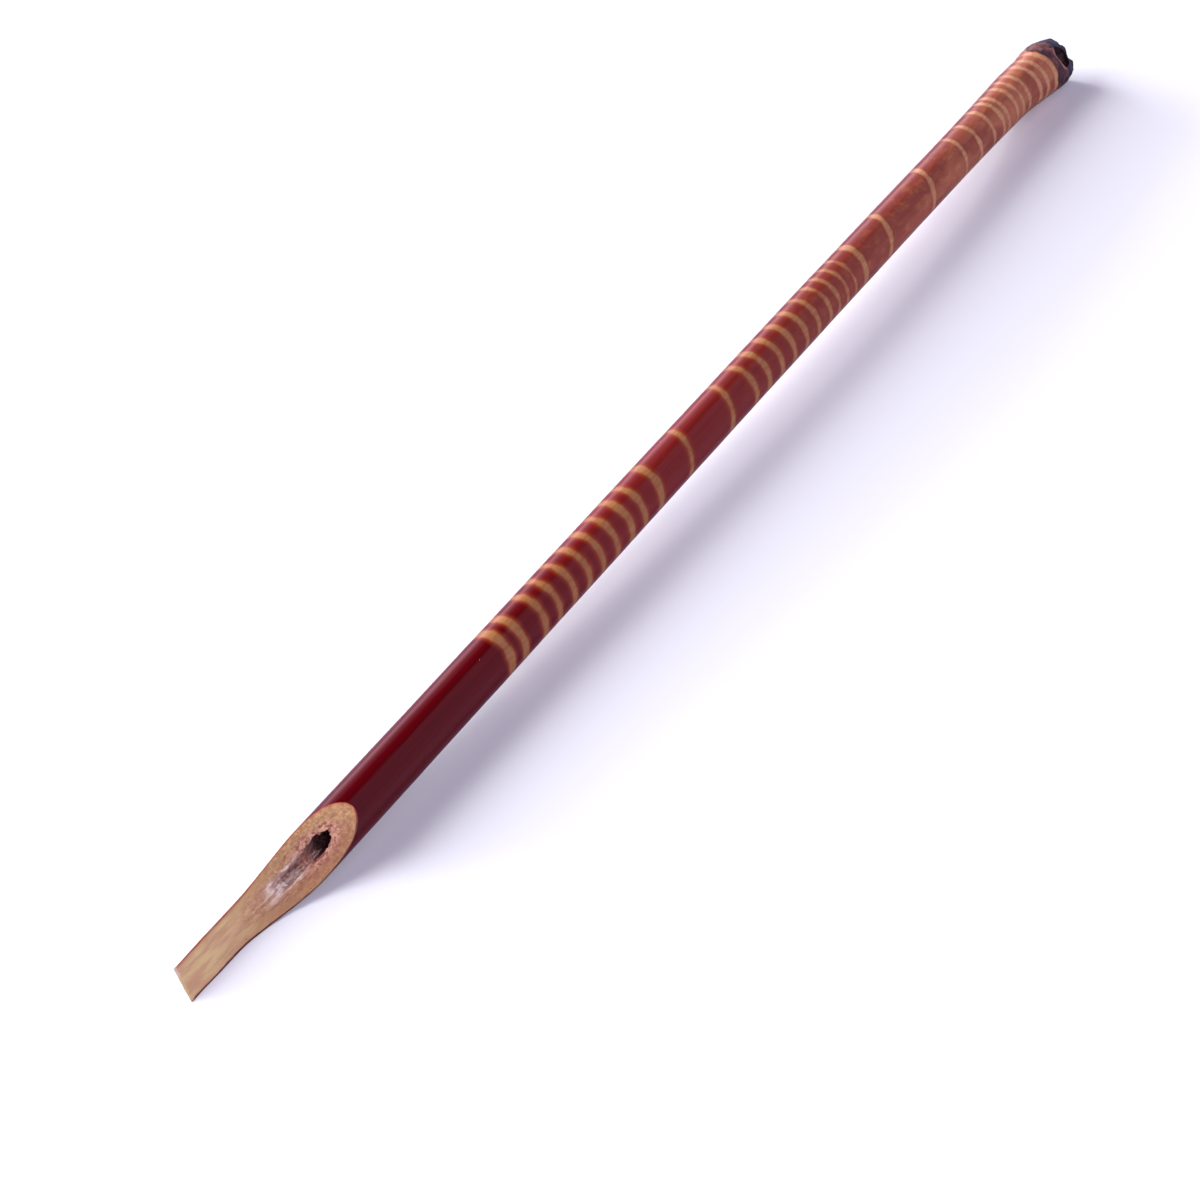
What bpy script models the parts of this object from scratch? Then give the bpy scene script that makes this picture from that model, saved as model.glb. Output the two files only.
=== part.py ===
"""A reed cane cut to a writing pen, lying down.

Metres, +Z up, +X from the cut tip to the root end. The cane touches the surface under the tip of its tongue and
under its root end, and between them it bows up and towards -Y. A turn is an angle about the cane's own line,
from straight up towards -Y, so 90 degrees points to -Y and 180 degrees points down.
"""

import math

import bmesh
import bpy
from mathutils import Matrix, Vector

# The cane's line, along +X from the tip
CANE_LENGTH = 0.250
BOW_HEIGHT = 0.0023
BOW_SIDE = 0.0010
BOW_SKEW = 1.6

# The round barrel and its flared root end
BARREL_RADIUS = 0.0035
FLARE_START = 0.200
FLARE_GROWTH = 0.0010
FLARE_POWER = 3.2
SHOULDER_LENGTH = 0.0028
SHOULDER_DROP = 0.0005

# How deep the two spots that the cane rests on are worn flat
TIP_FLAT_DEPTH = 0.00006
ROOT_FLAT_DEPTH = 0.00075

# The broken root end: its fuller and longer side, and the waves of its rim as (waves round, height, start)
FULL_TURN = math.radians(121)
BULGE = 0.0008
BULGE_FROM = 0.234
RIM_SET_BACK = 0.0003
RIM_SLANT = 0.0015
RIM_FROM = 0.242
RIM_WAVES = ((3, 0.00032, 1.4), (5, 0.00018, 0.4), (9, 0.00012, 2.0))

# Its two hollows: a shallow dish in the end face, and a socket where a shoot broke away
DISH_TURN = math.radians(235)
DISH_OFFSET = 0.0009
DISH_RADII = (0.0009, 0.0018, 0.0018)
SOCKET_TURN = math.radians(55)
SOCKET_PLACE = 0.2480
SOCKET_OFFSET = 0.0041
SOCKET_RADII = (0.00135, 0.0019, 0.0018)

# The long scooped cut: its floor as a share of the radius, from the tongue up to the skin
TONGUE_LEVEL = -0.75
TONGUE_LENGTH = 0.008
CUT_LENGTH = 0.0334
CUT_POWER = 2.5
CUT_TURN_AT_TONGUE = math.radians(44.5)
CUT_TURN_AT_END = math.radians(27)
CUT_TWIST_FROM = 0.009
CUT_TWIST_TO = 0.028
TIP_SLANT = math.radians(14)
TIP_BEVEL = math.radians(38)

# The soft core that the cut opens, hollow up to the first joint of the cane
CORE_RADIUS = 0.00125
CORE_START = 0.014
CORE_END = 0.066

# How finely the shapes are divided
STATIONS = 80
SHOULDER_STATIONS = 5
ROUND_SIDES = 36
CORE_SIDES = 16
CUT_STEPS = 40
CUTTER_MARGIN = 0.001
CUTTER_REACH = 0.012
SMOOTH_ANGLE = math.radians(35)

SKIN_COLOUR = (0.16, 0.012, 0.016, 1.0)
CUT_COLOUR = (0.50, 0.32, 0.18, 1.0)


def clear_scene():
    for old in list(bpy.data.objects):
        bpy.data.objects.remove(old, do_unlink=True)


def collection_named(name):
    made = bpy.data.collections.new(name)
    bpy.context.scene.collection.children.link(made)
    return made


def material_named(name, colour, roughness):
    made = bpy.data.materials.new(name)
    made.use_nodes = True
    shader = made.node_tree.nodes["Principled BSDF"]
    shader.inputs["Base Color"].default_value = colour
    shader.inputs["Roughness"].default_value = roughness
    shader.inputs["Metallic"].default_value = 0.0
    return made


def smooth_share(value, start, end):
    """0 up to start, 1 from end on, and an even S between them."""
    share = min(max((value - start) / (end - start), 0.0), 1.0)
    return share * share * (3 - 2 * share)


def cane_radius(along):
    flare = max(along - FLARE_START, 0.0) / (CANE_LENGTH - FLARE_START)
    return BARREL_RADIUS + FLARE_GROWTH * flare**FLARE_POWER


def outer_radius(along):
    """The cane's radius, drawn in over the last few millimetres of the root end."""
    into_shoulder = max(along - (CANE_LENGTH - SHOULDER_LENGTH), 0.0) / SHOULDER_LENGTH
    return cane_radius(along) - SHOULDER_DROP * into_shoulder**2


def cane_centre(along):
    share = max(along / CANE_LENGTH, 0.0)
    bow = math.sin(math.pi * share**BOW_SKEW)
    tip_height = BARREL_RADIUS - TIP_FLAT_DEPTH
    root_height = cane_radius(CANE_LENGTH - SHOULDER_LENGTH) - ROOT_FLAT_DEPTH
    height = tip_height + (root_height - tip_height) * share
    return Vector((along, -BOW_SIDE * bow, height + BOW_HEIGHT * bow))


def outward(turn):
    return Vector((0.0, -math.sin(turn), math.cos(turn)))


def mesh_from_curve(name, curve):
    """The curve's tube as a closed mesh object, with the curve removed."""
    guide = bpy.data.objects.new(name + "_line", curve)
    bpy.context.scene.collection.objects.link(guide)
    bpy.context.view_layer.update()
    evaluated = guide.evaluated_get(bpy.context.evaluated_depsgraph_get())
    mesh = bpy.data.meshes.new_from_object(evaluated)
    shape = bmesh.new()
    shape.from_mesh(mesh)
    bmesh.ops.remove_doubles(shape, verts=shape.verts, dist=1e-6)
    bmesh.ops.recalc_face_normals(shape, faces=shape.faces)
    shape.to_mesh(mesh)
    shape.free()
    made = bpy.data.objects.new(name, mesh)
    made.matrix_world = guide.matrix_world
    bpy.data.objects.remove(guide, do_unlink=True)
    bpy.data.curves.remove(curve)
    return made


def tube_along_cane(name, places, radius_at, sides):
    curve = bpy.data.curves.new(name, "CURVE")
    curve.dimensions = "3D"
    curve.twist_mode = "Z_UP"
    curve.bevel_depth = 1.0
    curve.bevel_resolution = sides // 4 - 1
    curve.use_fill_caps = True
    line = curve.splines.new("POLY")
    line.points.add(len(places) - 1)
    for point, along in zip(line.points, places):
        point.co = (*cane_centre(along), 1.0)
        point.radius = radius_at(along)
    return mesh_from_curve(name, curve)


def barrel_places():
    """Places for the barrel's rings of points, with more of them round the root end's shoulder."""
    shoulder_start = CANE_LENGTH - SHOULDER_LENGTH
    places = [-CUTTER_MARGIN]
    places += [shoulder_start * step / STATIONS for step in range(STATIONS + 1)]
    steps = range(1, SHOULDER_STATIONS + 1)
    places += [shoulder_start + SHOULDER_LENGTH * step / SHOULDER_STATIONS for step in steps]
    return places


def rim_reach(turn):
    """How far the broken rim stands past the cane's length at this turn."""
    reach = RIM_SLANT * math.cos(turn - FULL_TURN) - RIM_SET_BACK
    for waves, height, start in RIM_WAVES:
        reach += height * math.sin(waves * turn + start)
    return reach


def break_root_end(cane):
    """Bulges the root end to its fuller side, and gives it a slanted, uneven rim."""
    shape = bmesh.new()
    shape.from_mesh(cane.data)
    end_face = max(shape.faces, key=lambda face: face.calc_center_median().x)
    middle = bmesh.ops.poke(shape, faces=[end_face])["verts"][0]
    for vert in shape.verts:
        along = vert.co.x
        offset = vert.co - cane_centre(along)
        reach = -RIM_SET_BACK if vert == middle else rim_reach(math.atan2(-offset.y, offset.z))
        vert.co += BULGE * smooth_share(along, BULGE_FROM, CANE_LENGTH) * outward(FULL_TURN)
        vert.co.x += reach * max(along - RIM_FROM, 0.0) / (CANE_LENGTH - RIM_FROM)
    shape.to_mesh(cane.data)
    shape.free()


def make_barrel():
    cane = tube_along_cane("reed_cane", barrel_places(), outer_radius, ROUND_SIDES)
    break_root_end(cane)
    return cane


def cut_level(along):
    """The height of the cut's floor over the cane's line, towards the cut's turn."""
    share = max(along - TONGUE_LENGTH, 0.0) / (CUT_LENGTH - TONGUE_LENGTH)
    return BARREL_RADIUS * (TONGUE_LEVEL + (1 - TONGUE_LEVEL) * share**CUT_POWER)


def cut_turn(along):
    twist = smooth_share(along, CUT_TWIST_FROM, CUT_TWIST_TO)
    return CUT_TURN_AT_TONGUE + (CUT_TURN_AT_END - CUT_TURN_AT_TONGUE) * twist


def make_cut_cutter():
    """What the knife takes away: a strip laid on the cut's floor and raised clear of the cane."""
    length = CUT_LENGTH + 3 * CUTTER_MARGIN
    shape = bmesh.new()
    bmesh.ops.create_grid(shape, x_segments=CUT_STEPS, y_segments=1, size=1.0)
    raised = bmesh.ops.extrude_face_region(shape, geom=shape.faces[:])["geom"]
    for vert in raised:
        if isinstance(vert, bmesh.types.BMVert):
            vert.co.z = 1.0
    for vert in shape.verts:
        along = (vert.co.x + 1) / 2 * length - 2 * CUTTER_MARGIN
        level = CUTTER_REACH if vert.co.z > 0 else cut_level(along)
        turn = cut_turn(along)
        side = outward(turn + math.pi / 2)
        vert.co = cane_centre(along) + level * outward(turn) + vert.co.y * CUTTER_REACH / 2 * side
    bmesh.ops.recalc_face_normals(shape, faces=shape.faces)
    return object_from_shape("cut_cutter", shape)


def object_from_shape(name, shape):
    mesh = bpy.data.meshes.new(name)
    shape.to_mesh(mesh)
    shape.free()
    return bpy.data.objects.new(name, mesh)


def make_tip_cutter():
    """A block whose slanted face leaves the tongue's lower corner as the foremost point, at X = 0."""
    across = outward(CUT_TURN_AT_TONGUE + math.pi / 2)
    corner = cane_centre(0) + BARREL_RADIUS * TONGUE_LEVEL * outward(CUT_TURN_AT_TONGUE)
    corner += BARREL_RADIUS * math.sqrt(1 - TONGUE_LEVEL**2) * across
    shape = bmesh.new()
    bmesh.ops.create_cube(shape, size=2 * CUTTER_REACH)
    bmesh.ops.translate(shape, verts=shape.verts, vec=(-CUTTER_REACH, 0, 0))
    slant = Matrix.Rotation(-TIP_SLANT, 4, outward(CUT_TURN_AT_TONGUE))
    bevel = Matrix.Rotation(TIP_BEVEL, 4, across)
    bmesh.ops.transform(shape, verts=shape.verts, matrix=Matrix.Translation(corner) @ slant @ bevel)
    return object_from_shape("tip_cutter", shape)


def make_core_cutter():
    places = [CORE_START + (CORE_END - CORE_START) * step / 8 for step in range(9)]
    return tube_along_cane("core_cutter", places, lambda along: CORE_RADIUS, CORE_SIDES)


def make_ball_cutter(name, centre, radii, turn):
    """An egg-shaped cutter: its radii lie along the cane, across it and outward at this turn."""
    shape = bmesh.new()
    bmesh.ops.create_uvsphere(shape, u_segments=20, v_segments=12, radius=1.0)
    bmesh.ops.scale(shape, verts=shape.verts, vec=radii)
    placed = Matrix.Translation(centre) @ Matrix.Rotation(turn, 4, "X")
    bmesh.ops.transform(shape, verts=shape.verts, matrix=placed)
    return object_from_shape(name, shape)


def make_dish_cutter():
    centre = cane_centre(CANE_LENGTH - RIM_SET_BACK) + DISH_OFFSET * outward(DISH_TURN)
    return make_ball_cutter("dish_cutter", centre, DISH_RADII, DISH_TURN)


def make_socket_cutter():
    centre = cane_centre(SOCKET_PLACE) + SOCKET_OFFSET * outward(SOCKET_TURN)
    return make_ball_cutter("socket_cutter", centre, SOCKET_RADII, SOCKET_TURN)


def make_rest_cutter():
    """A slab below Z = 0, which leaves the two flat spots that the cane rests on."""
    shape = bmesh.new()
    bmesh.ops.create_cube(shape, size=1.0)
    bmesh.ops.scale(shape, verts=shape.verts, vec=(CANE_LENGTH * 1.2, CUTTER_REACH * 2, CUTTER_REACH))
    bmesh.ops.translate(shape, verts=shape.verts, vec=(CANE_LENGTH / 2, 0, -CUTTER_REACH / 2))
    return object_from_shape("rest_cutter", shape)


def cut_away(cane, cutter):
    modifier = cane.modifiers.new(cutter.name, "BOOLEAN")
    modifier.operation = "DIFFERENCE"
    modifier.solver = "EXACT"
    modifier.material_mode = "TRANSFER"
    modifier.object = cutter


def set_on_origin(cane, anchor):
    """Moves the anchor so that the cane's box stands on the origin by the middle of its underside."""
    bpy.context.view_layer.update()
    evaluated = cane.evaluated_get(bpy.context.evaluated_depsgraph_get())
    corners = [evaluated.matrix_world @ vert.co for vert in evaluated.to_mesh().vertices]
    low = [min(corner[axis] for corner in corners) for axis in range(3)]
    high = [max(corner[axis] for corner in corners) for axis in range(3)]
    evaluated.to_mesh_clear()
    anchor.location = (-(low[0] + high[0]) / 2, -(low[1] + high[1]) / 2, -low[2])


def main():
    clear_scene()
    parts = collection_named("reed_cane")
    cutters = collection_named("cutters")
    anchor = bpy.data.objects.new("reed_cane_anchor", None)
    parts.objects.link(anchor)
    cane = make_barrel()
    cane.data.materials.append(material_named("cane_skin", SKIN_COLOUR, 0.3))
    cane.data.shade_smooth()
    cane.data.set_sharp_from_angle(angle=SMOOTH_ANGLE)
    cane.parent = anchor
    parts.objects.link(cane)
    cut_reed = material_named("cut_reed", CUT_COLOUR, 0.8)
    makers = (
        make_cut_cutter,
        make_tip_cutter,
        make_core_cutter,
        make_dish_cutter,
        make_socket_cutter,
        make_rest_cutter,
    )
    for make in makers:
        cutter = make()
        cutter.data.materials.append(cut_reed)
        cutter.hide_render = True
        cutter.display_type = "WIRE"
        cutter.parent = anchor
        cutters.objects.link(cutter)
        cut_away(cane, cutter)
    set_on_origin(cane, anchor)


main()
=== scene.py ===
import math

import bmesh
import bpy
from mathutils import Matrix, Vector, noise


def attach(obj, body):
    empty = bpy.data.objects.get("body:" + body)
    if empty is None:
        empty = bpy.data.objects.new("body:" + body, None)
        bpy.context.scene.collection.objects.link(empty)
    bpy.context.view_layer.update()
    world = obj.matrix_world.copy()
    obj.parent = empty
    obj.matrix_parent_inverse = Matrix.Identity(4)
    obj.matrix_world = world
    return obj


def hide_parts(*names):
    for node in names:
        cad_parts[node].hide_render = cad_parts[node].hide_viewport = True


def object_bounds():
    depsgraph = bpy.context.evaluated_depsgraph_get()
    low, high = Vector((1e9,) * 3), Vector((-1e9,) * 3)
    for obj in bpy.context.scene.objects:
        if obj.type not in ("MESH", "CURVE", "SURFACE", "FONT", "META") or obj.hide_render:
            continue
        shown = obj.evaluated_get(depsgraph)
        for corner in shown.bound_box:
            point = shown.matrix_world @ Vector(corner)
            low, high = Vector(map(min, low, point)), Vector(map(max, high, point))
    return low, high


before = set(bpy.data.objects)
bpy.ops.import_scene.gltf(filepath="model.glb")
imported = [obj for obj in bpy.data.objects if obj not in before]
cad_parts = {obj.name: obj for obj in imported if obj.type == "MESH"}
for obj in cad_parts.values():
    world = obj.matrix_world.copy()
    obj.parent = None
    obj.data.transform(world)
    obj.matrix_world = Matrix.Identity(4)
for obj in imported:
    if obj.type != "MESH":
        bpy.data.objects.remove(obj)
cad_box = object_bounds()

# The camera, in metres: where it stands, how it looks along and down, and its lens for a 36 mm sensor
CAMERA_PLACE = (-0.35895, -0.19168, 0.31125)
CAMERA_HEADING = math.radians(30.05)
CAMERA_DOWN = math.radians(39.65)
CAMERA_LENS = 105.0
SENSOR_WIDTH = 36.0
SEEN_FROM = 0.01
SEEN_TO = 20.0

# The floor is nearly white. The glossy skin mirrors it dimly, as it does in the photo
FLOOR_COLOUR = (0.80, 0.83, 0.90, 1.0)
# To glossy rays the floor shows this darker colour, so its reflection in the skin is painted dim
FLOOR_MIRRORED = (0.26, 0.22, 0.30, 1.0)
FLOOR_ROUGHNESS = 0.9
FLOOR_REACH = 4.0

# The lights: direction from the cane, distance, width and height in metres, power in watts, colour
LIGHTS = {
    "key_light": ((-0.45, 0.78, 0.50), 1.3, 1.1, 0.75, 30.0, (1.0, 0.99, 0.97)),
    "low_strip": ((-0.25, 0.95, 0.17), 1.5, 1.6, 0.40, 46.0, (1.0, 0.99, 0.97)),
    "front_fill": ((-0.55, -0.75, 0.50), 1.7, 1.6, 1.6, 20.0, (0.93, 0.93, 1.0)),
}

# The sky that the skin mirrors: colours, and the heights or sideways shares between which each one fades in
SKY_TOP = (0.01, 0.01, 0.015, 1.0)
SKY_LOWER = (0.30, 0.25, 0.34, 1.0)
SKY_LOWER_RANGE = (0.64, 0.52)
SKY_HORIZON = (1.45, 1.25, 1.45, 1.0)
SKY_HORIZON_RANGE = (0.48, 0.12)
SKY_IN_FRONT = (0.36, 0.26, 0.38, 1.0)
SKY_IN_FRONT_RANGE = (0.10, -0.10)
SKY_SEEN = (1.0, 1.0, 1.0, 1.0)

# The cane's own line. The mesh is made in millimetres from the tip, as the solid was, and then moved
TIP_PLACE = (-0.125685, 0.000694, 0.0)
MILLIMETRE = 0.001
CANE_LENGTH = 250.0
BOW_HEIGHT = 2.3
BOW_SIDE = 1.0
BOW_SKEW = 1.6
BARREL_RADIUS = 3.5
FLARE_START = 200.0
FLARE_GROWTH = 1.0
FLARE_POWER = 3.2
SHOULDER_LENGTH = 2.8
SHOULDER_DROP = 0.5
TIP_FLAT_DEPTH = 0.06
ROOT_FLAT_DEPTH = 0.75

# Slow swells of the skin: height, length along the cane, and grains around
SWELLS = ((0.035, 18, 1.1), (0.012, 5, 2.2))

# The collar's wrinkles: share, and grains along and around. Then where they start, and their ridges
WRINKLES = ((1.0, 0.8, 3.0), (0.5, 2.0, 6.0))
COLLAR_RANGE = (244.8, 246.0)
WRINKLE_HEIGHT = 0.15
COLLAR_SUNK = 0.02
RIDGE_HEIGHT = 0.07
RIDGE_TURNS = 4.2
RIDGE_WANDER = 2.0
RIDGE_LENGTH = 3
RIDGE_GRAINS = 2

# The broken root end. The ragged layers give height, noise row and grains around
FULL_TURN = math.radians(121)
BULGE = 0.8
BULGE_FROM = 234.0
RIM_SET_BACK = 0.3
RIM_SLANT = 1.5
RIM_FROM = 242.0
RIM_WAVES = ((3, 0.32, 1.4), (5, 0.18, 0.4), (9, 0.12, 2.0))
RAGGED_LAYERS = ((0.34, 3.0, 4.5), (0.22, 7.0, 10.0))
END_ROUGHNESS = ((0.30, 1.3), (0.16, 3.4))
END_SMOOTH_RINGS = 3
END_HOLLOW = 0.35
END_HOLLOW_POWER = 4
DISH_TURN = math.radians(235)
DISH_OFFSET = 0.9
DISH_RADII = (0.9, 1.8, 1.8)
DISH_ROUGHNESS = 0.12
HORN_TURN = math.radians(-18)
HORN_REACH = 0.95
HORN_RISE = 0.4
SOCKET_TURN = math.radians(55)
SOCKET_PLACE = 248.1
SOCKET_OFFSET = 4.1
SOCKET_RADII = (1.45, 2.05, 1.75)
SOCKET_ROUGHNESS = 0.10
BALL_LAYERS = ((1.0, 1.8), (0.5, 4.5))
BALL_DIVISIONS = 5

# The long scooped cut
TONGUE_LEVEL = -0.75
TONGUE_LENGTH = 8.0
CUT_LENGTH = 33.4
CUT_POWER = 2.5
CUT_TURN_AT_TONGUE = math.radians(44.5)
CUT_TURN_AT_END = math.radians(27)
CUT_TWIST_FROM = 9.0
CUT_TWIST_TO = 28.0
TIP_SLANT = math.radians(14)
TIP_BEVEL = math.radians(38)
TIP_CUT_SIZE = 9.0
TIP_CUT_STEPS = 90
TIP_ROUGHNESS = 0.06
TIP_GRAINS = 4.0
TIP_NOISE_ROW = 3.0

# The knife's streaks and facets: height, grains along and across, noise row
KNIFE_LAYERS = ((0.014, 0.4, 2.8, 1.0), (0.010, 1.1, 6.0, 4.0), (0.05, 0.22, 0.45, 9.0))

# The slope's open grain. A noise layer is grains along, grains across and noise row
GRAIN_RANGE = (14.0, 24.0)
GRAIN_HEIGHT = 0.035
GRAIN_COARSE = (2.6, 3.0, 12.0)
GRAIN_FINE_SHARE = 0.4
GRAIN_FINE = (6.0, 6.0, 15.0)

# The soft pith beside the core: how far it sinks, and how unevenly
PITH_REACH = (1.1, 1.9)
PITH_RANGE = (11.0, 17.0)
PITH_DEPTH = 0.12
PITH_UNEVEN = 0.14
PITH_LAYER = (1.3, 2.6, 21.0)

# The torn groove in front of the core's mouth. Its wander changes along the cane only
GROOVE_START = 18.6
GROOVE_DEEP = 23.0
GROOVE_POWER = 1.5
GROOVE_FADE = (26.0, 28.5)
GROOVE_SIDE = 0.15
GROOVE_FLOOR = 0.5
GROOVE_HALF_WIDTH = 1.15
GROOVE_DEPTH = 1.05
GROOVE_WANDERS = ((0.5, 0.9, 27.0), (0.25, 2.4, 33.0))
GROOVE_WANDER_ROW = 3.0
GROOVE_WANDER_ALONG = 2.0
GROOVE_WANDER_SIDE = 0.3
GROOVE_WANDER_WIDTH = 0.4
GROOVE_UNEVEN = 0.5
GROOVE_LAYER = (1.6, 2.4, 39.0)

# The hollow core: its ragged wall, and the pith left on its floor near the mouth
CORE_RADIUS = 1.25
CORE_START = 14.0
CORE_FINE_END = 36.0
CORE_FINE_STEPS = 130
CORE_END = 66.0
CORE_STEPS = 20
CORE_SIDES = 64
CORE_LAYERS = ((0.17, 0.8, 1.7), (0.13, 2.2, 3.6), (0.10, 5.0, 8.0))
CORE_WIDENING = 1.04
CORE_FILLED = 0.35
CORE_FILLED_RANGE = (24.0, 29.0)

# The pale rings: first and last place from the tip, how many, how wide, and how far each one slants
RING_RUNS = (
    (69.6, 73.1, 2, 1.9, 0.45),
    (78.3, 105.3, 8, 1.6, 0.42),
    (110.3, 110.3, 1, 1.7, 0.9),
    (119.6, 131.8, 2, 1.45, 1.6),
    (138.2, 158.1, 6, 1.6, 0.4),
    (161.7, 170.3, 4, 1.2, 0.25),
    (174.2, 174.2, 1, 1.8, 0.9),
    (183.7, 199.2, 2, 1.6, 1.85),
    (210.9, 210.9, 1, 1.35, 1.0),
    (216.1, 221.2, 2, 1.4, 0.45),
    (224.7, 226.7, 2, 1.45, 0.1),
    (230.1, 234.8, 3, 1.35, 0.2),
    (238.6, 243.9, 3, 1.55, 0.0),
)
NEAR_TURN = math.radians(31)
RING_REACH = 2.5
RING_WANDER_GRAINS = 1.7
RING_WANDER_ROW = (3.0, 5.0)
RING_SHIFT = 0.35
RING_WIDENING = 0.25

# How finely the mesh is divided, how far the cutters reach, and how near points are welded
SIDES = 96
BEFORE_TIP = 1.0
STATION_STEP = 0.5
END_STEP = 0.16
END_FROM = 240.0
END_RINGS = 20
CUT_STEP = 0.16
CUT_HALF_WIDTH = 4.4
CUT_BEFORE = 2.0
CUT_OVERRUN = 3.0
CUTTER_REACH = 12.0
SHARP_ANGLE = math.radians(40)
WELD_DISTANCE = 0.006

# The order of the materials on the mesh
CHAR_INDEX = 3

# The skin's grains: per millimetre along and across, detail, roughness and shift
SKIN_GRAINS = {
    "fibres": (0.05, 3.4, 3.0, 0.5, 0.0),
    "streaks": (0.012, 0.9, 2.0, 0.5, 7.0),
    "clouds": (0.10, 0.35, 3.0, 0.5, 3.0),
    "mottle": (0.40, 0.75, 4.0, 0.6, 17.0),
    "pores": (1.2, 6.0, 3.0, 0.7, 53.0),
    "wander": (0.28, 0.6, 3.0, 0.4, 11.0),
    "pale_fibres": (0.35, 2.6, 4.0, 0.6, 19.0),
    "patches": (0.45, 0.55, 3.0, 0.5, 29.0),
    "wrinkles": (2.4, 0.8, 4.0, 0.6, 23.0),
}

# The red from the tip to the root: a share of the length, and the colour there
SKIN_TONES = (
    (0.12, (74, 1, 8)),
    (0.28, (82, 2, 9)),
    (0.40, (106, 24, 24)),
    (0.58, (110, 30, 27)),
    (0.80, (136, 60, 46)),
    (0.90, (156, 84, 60)),
    (0.97, (162, 90, 66)),
)
SHADE_BASE = 0.38
SHADE_SHARES = {"fibres": 0.50, "streaks": 0.36, "pores": 0.40}

# Where the skin's tints fade in, by place along or across, by noise, or by how far inside a ring
SKIN_RANGES = {
    "rootward": (120.0, 235.0),
    "warm": (0.46, 0.70),
    "sallow": (0.3, -3.6),
    "lit_side_shade_across": (-1.2, 1.4),
    "lit_side_shade_from": (120.0, 180.0),
    "lit_side_shade_until": (248.0, 215.0),
    "deep": (0.46, 0.62),
    "glow": (-0.75, 0.30),
    "band": (-0.08, 0.54),
    "tanned": (0.35, 0.65),
    "far_side_shade": (0.6, 3.4),
    "scorched": (244.4, 244.9),
    "burnt_and_sheen": (247.7, 248.6),
    "patches": (0.44, 0.62),
    "wrinkles": (0.46, 0.66),
    "seam_from": (244.4, 244.7),
    "seam_until": (245.6, 245.0),
    "socket_edge": (2.55, 2.25),
    "socket_until": (248.0, 247.2),
}

# The skin's tints with their strengths, and its pairs of colours
SKIN_TINTS = {
    "warm": ((172, 106, 64), 0.75),
    # Painted light: a paler colour on the -Y side
    "sallow": ((168, 116, 86), 0.32),
    # Painted shade: a darker red on the +Y side, where the key light falls
    "ruddy": ((104, 34, 32), 0.55),
    "deep": ((112, 40, 32), 0.6),
    "glow": ((132, 52, 26), 1.0),
    "wrinkles": ((40, 22, 30), 1.0),
    "seam": ((50, 20, 30), 0.7),
    # Painted highlight on the ridge around the socket
    "socket_rim_highlight": ((160, 112, 112), 0.7),
    "dust": ((190, 140, 140), 1.0),
}
SKIN_PAIRS = {
    "pale": ((154, 108, 70), (192, 144, 108)),
    "tanned": ((140, 92, 56), (174, 122, 88)),
    "collar": ((118, 74, 74), (70, 42, 52)),
    # Near-black char, and a bluish grey that is a painted sheen on it
    "burnt_and_sheen": ((8, 8, 14), (62, 62, 90)),
}
RING_EDGE_WANDER = 0.9
GLOW_STRENGTH = 0.8
GLOW_LOST_ROOTWARD = 0.55
RING_STRENGTH = 0.74
RING_MOTTLE = 0.36
# Painted shade on the +Y side of the skin, where the key light falls: its colour, its strength, and what it
# gains towards the root
FAR_SIDE_SHADE_COLOUR = (0.60, 0.46, 0.50, 1.0)
FAR_SIDE_SHADE_STRENGTH = 0.5
FAR_SIDE_SHADE_ROOTWARD = 0.5
BURNT_WANDER = 2.2
SOCKET_WANDER = 0.5
DUST = (1.2, 1.2, 0.09, 0.012)
SKIN_ROUGHNESS = 0.12
FIBRE_ROUGHNESS = 0.07
SCORCHED_ROUGHNESS = 0.30
SKIN_SHINE = 0.45
SKIN_FIBRE_RELIEF = 0.008
WRINKLE_RELIEF = 0.25

# The cut wood's grains, and where its tints fade in: by place, by depth as a share of the radius, or by noise
CUT_GRAINS = {
    "wander": (0.3, 1.2, 4.0, 0.6, 0.0),
    "fibres": (0.24, 1.7, 5.0, 0.6, 5.0),
    "broad": (0.16, 0.7, 3.0, 0.5, 13.0),
    "ends": (1.3, 2.3, 6.0, 0.85, 31.0),
    "speckle": (0.9, 2.4, 6.0, 0.8, 37.0),
    "pith": (0.35, 2.2, 4.0, 0.6, 43.0),
    "crumbs": (1.6, 2.2, 4.0, 0.7, 47.0),
}
CUT_PLACES = {
    "slope": (14.0, 26.0),
    "golden_from": (9.0, 18.0),
    "brown_from": (10.5, 15.0),
    "pith_from": (16.5, 20.0),
    "pith_until": (27.0, 24.0),
    "torn_from": (23.0, 26.0),
    "wall_from": (20.5, 22.0),
    "shaded_from": (6.0, 20.0),
}
CUT_DEPTHS = {
    "golden_depth": (0.62, 0.85),
    "brown_depth": (0.90, 0.62),
    "torn_depth": (0.66, 0.50),
}
CUT_RANGES = {
    "wood": (0.36, 0.66),
    "broad": (0.42, 0.60),
    "mottled": (0.38, 0.62),
    "brown": (0.40, 0.62),
    "pith_side": (1.45, 0.95),
    "pith": (0.40, 0.60),
    "torn": (0.40, 0.58),
    "wall_sunk": (0.35, 0.65),
    "wall_side": (0.05, -0.40),
    "shaded_side": (-0.5, 2.2),
    "rim_band": (0.925, 0.965),
    "skin_line_and_shade": (0.965, 0.995),
    "frayed_side": (-1.6, -0.6),
    "frayed_until": (1.15, 0.75),
    "frayed_sunk": (0.25, 0.10),
}
CUT_TINTS = {
    "broad": ((204, 156, 132), 0.45),
    "golden": ((186, 146, 102), 0.7),
    "brown": ((138, 78, 66), 0.8),
    "flecks": ((150, 62, 46), 0.6),
    "shaded": ((140, 84, 62), 0.45),
    # Painted shade on one wall of the groove, where it is sunk below the cut
    "painted_wall_shade": ((108, 62, 54), 0.65),
    "rim_band": ((180, 104, 62), 0.7),
}
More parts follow.
